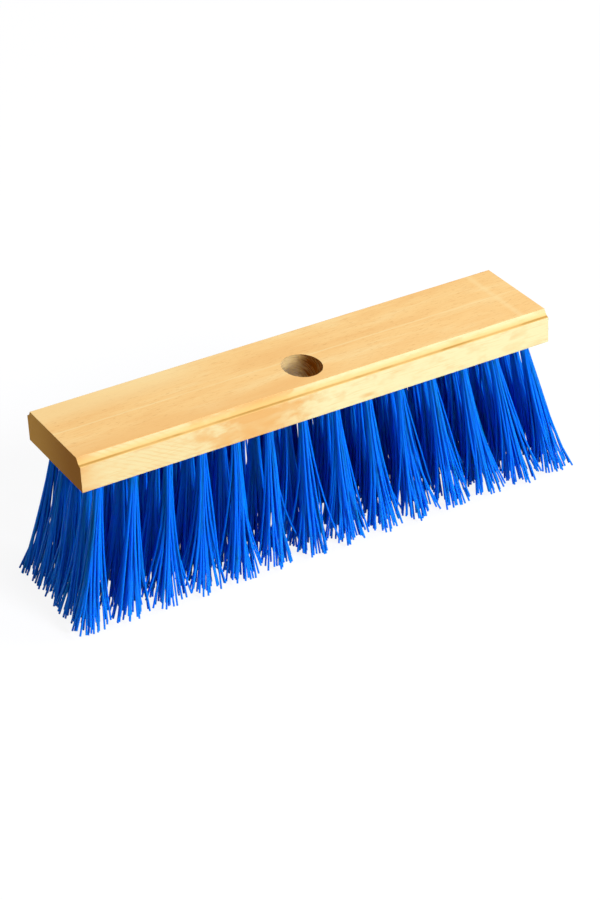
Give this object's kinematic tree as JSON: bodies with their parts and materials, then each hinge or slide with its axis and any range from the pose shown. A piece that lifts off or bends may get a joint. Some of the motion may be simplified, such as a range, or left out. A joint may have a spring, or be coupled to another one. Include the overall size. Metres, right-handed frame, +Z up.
{
  "type": "broom head",
  "caption": "Broom head: a moulded pale wood block with a slanted round handle bore and five rows of fanned stiff blue bristle tufts",
  "frame": {"origin": "middle of the bristle tips' plane, straight under the middle of the head's box; the head stands on its tips at z = 0", "axes": "+X along the block's length, +Y to the back, away from the side that the handle leans to, +Z up, out of the block's flat top face"},
  "size_m": [0.3291, 0.0839, 0.108],
  "materials": {
    "wood": "planed and lightly sanded pale hardwood, unvarnished",
    "bristle": "extruded saturated blue plastic filament with a satin sheen"
  },
  "bodies": {
    "root": {"block": "wood", "tuft_back_01": "bristle", "tuft_back_02": "bristle", "tuft_back_03": "bristle", "tuft_back_04": "bristle", "tuft_back_05": "bristle", "tuft_back_06": "bristle", "tuft_back_07": "bristle", "tuft_back_08": "bristle", "tuft_back_09": "bristle", "tuft_back_10": "bristle", "tuft_back_11": "bristle", "tuft_back_12": "bristle", "tuft_back_13": "bristle", "tuft_back_14": "bristle", "tuft_front_01": "bristle", "tuft_front_02": "bristle", "tuft_front_03": "bristle", "tuft_front_04": "bristle", "tuft_front_05": "bristle", "tuft_front_06": "bristle", "tuft_front_07": "bristle", "tuft_front_08": "bristle", "tuft_front_09": "bristle", "tuft_front_10": "bristle", "tuft_front_11": "bristle", "tuft_front_12": "bristle", "tuft_front_13": "bristle", "tuft_front_14": "bristle", "tuft_inner_back_01": "bristle", "tuft_inner_back_02": "bristle", "tuft_inner_back_03": "bristle", "tuft_inner_back_04": "bristle", "tuft_inner_back_05": "bristle", "tuft_inner_back_06": "bristle", "tuft_inner_back_07": "bristle", "tuft_inner_back_08": "bristle", "tuft_inner_back_09": "bristle", "tuft_inner_back_10": "bristle", "tuft_inner_back_11": "bristle", "tuft_inner_back_12": "bristle", "tuft_inner_back_13": "bristle", "tuft_inner_back_14": "bristle", "tuft_inner_front_01": "bristle", "tuft_inner_front_02": "bristle", "tuft_inner_front_03": "bristle", "tuft_inner_front_04": "bristle", "tuft_inner_front_05": "bristle", "tuft_inner_front_06": "bristle", "tuft_inner_front_07": "bristle", "tuft_inner_front_08": "bristle", "tuft_inner_front_09": "bristle", "tuft_inner_front_10": "bristle", "tuft_inner_front_11": "bristle", "tuft_inner_front_12": "bristle", "tuft_inner_front_13": "bristle", "tuft_inner_front_14": "bristle", "tufts_middle_left": "bristle", "tufts_middle_right": "bristle"}
  },
  "joints": []
}
